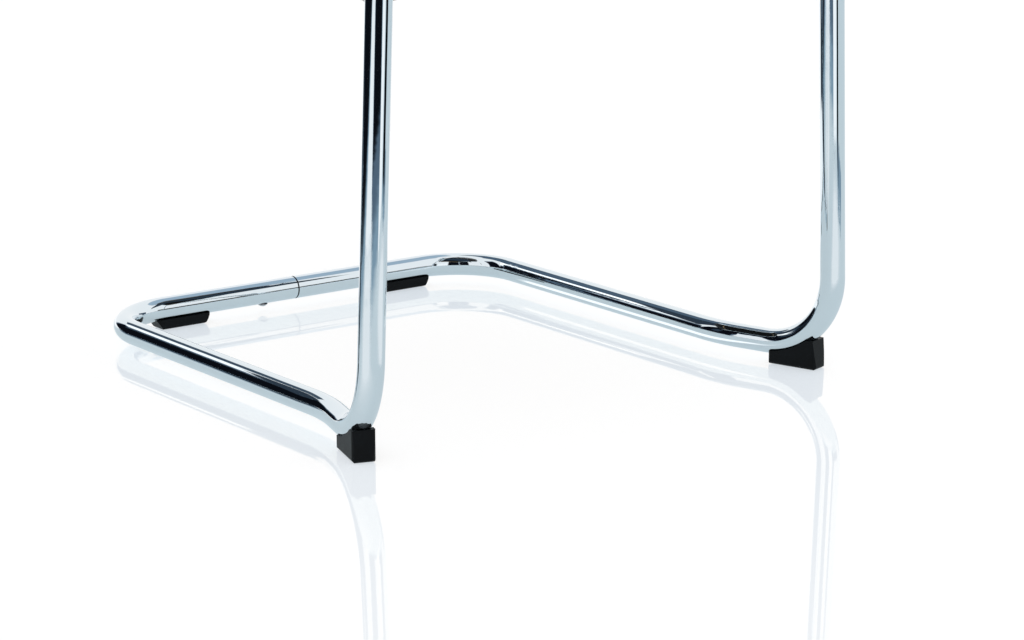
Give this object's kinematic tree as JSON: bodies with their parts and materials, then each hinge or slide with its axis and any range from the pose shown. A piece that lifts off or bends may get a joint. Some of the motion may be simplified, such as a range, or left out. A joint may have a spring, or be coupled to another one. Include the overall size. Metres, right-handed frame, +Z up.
{
  "type": "cantilever chair",
  "caption": "Cantilever armchair: bent chromed tube frame on a U-shaped floor base, padded one-piece seat and back shell, arm pads, black feet and glides.",
  "frame": {"origin": "centre of the bounding box in plan, on the floor", "axes": "+Z up, -Y to the front (the way a sitter faces), +X to the right as seen from the front along +Y"},
  "size_m": [0.5874, 0.6048, 0.872],
  "materials": {
    "chrome": "bright chrome plate on steel tube",
    "plain_steel": "plain drawn steel",
    "zinc_screw": "bright zinc plate",
    "black_plastic": "satin moulded black plastic",
    "arm_pad_black": "soft-touch black moulding",
    "beech_ply": "clear-lacquered moulded beech plywood",
    "foam": "open-cell foam",
    "black_leather": "black grained leather, sewn",
    "liner_cloth": "thin black non-woven cloth"
  },
  "bodies": {
    "root": {"left_frame_tube": "chrome", "right_frame_tube": "chrome", "crossbar_sleeve": "plain_steel", "crossbar_screw": "zinc_screw", "left_front_foot": "black_plastic", "right_front_foot": "black_plastic", "left_rear_glide": "black_plastic", "right_rear_glide": "black_plastic", "left_rail_plug": "black_plastic", "right_rail_plug": "black_plastic", "left_front_saddle": "black_plastic", "left_rear_saddle": "black_plastic", "right_front_saddle": "black_plastic", "right_rear_saddle": "black_plastic", "seat_bolts": "zinc_screw", "saddle_washers": "zinc_screw", "tee_nuts": "zinc_screw", "seat_back_shell": "beech_ply", "seat_foam": "foam", "seat_cover": "black_leather", "back_foam": "foam", "back_cover": "black_leather", "back_panel": "black_leather", "seat_liner": "liner_cloth", "left_arm_pad": "arm_pad_black", "right_arm_pad": "arm_pad_black", "left_arm_pad_screws": "zinc_screw", "right_arm_pad_screws": "zinc_screw"}
  },
  "joints": []
}
